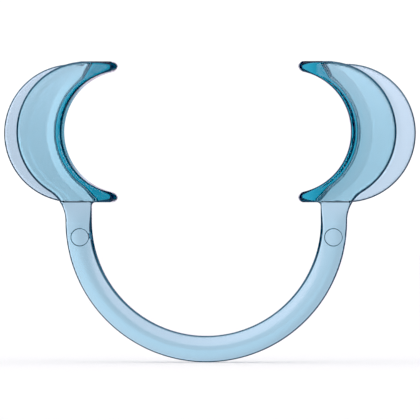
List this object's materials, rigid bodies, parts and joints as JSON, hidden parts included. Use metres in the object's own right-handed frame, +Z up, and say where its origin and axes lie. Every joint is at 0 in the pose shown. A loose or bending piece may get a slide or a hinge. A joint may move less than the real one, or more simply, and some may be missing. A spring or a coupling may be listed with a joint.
{
  "type": "cheek retractor",
  "caption": "Clear blue spring bow with a C-shaped lip cup on each end, squeezed together and let go to hold the mouth open.",
  "frame": {"origin": "under the lowest point of the bow, on the plane of symmetry, half-way between the front and the back of the cups", "axes": "+X across the mouth, to the right as seen from the front; -Y towards someone who faces the wearer; +Z up, from the bow to the cups"},
  "size_m": [0.1146, 0.014, 0.0831],
  "materials": {
    "clear_blue_plastic": "polished, transparent"
  },
  "bodies": {
    "left_half": {"left_bow_half": "clear_blue_plastic", "left_neck": "clear_blue_plastic", "left_lip_channel_web": "clear_blue_plastic", "left_outer_flange": "clear_blue_plastic", "left_inner_flange": "clear_blue_plastic", "left_upper_horn": "clear_blue_plastic", "left_lower_horn": "clear_blue_plastic"},
    "right_half": {"right_bow_half": "clear_blue_plastic", "right_neck": "clear_blue_plastic", "right_lip_channel_web": "clear_blue_plastic", "right_outer_flange": "clear_blue_plastic", "right_inner_flange": "clear_blue_plastic", "right_upper_horn": "clear_blue_plastic", "right_lower_horn": "clear_blue_plastic"}
  },
  "joints": [
    {"name": "bow_squeeze", "type": "hinge", "parent": "left_half", "child": "right_half", "pos_m": [0, 0, 0.0073], "axis": [0, -1, 0], "range_deg": [0, 26], "stiffness_Nm_per_rad": 3.5}
  ]
}
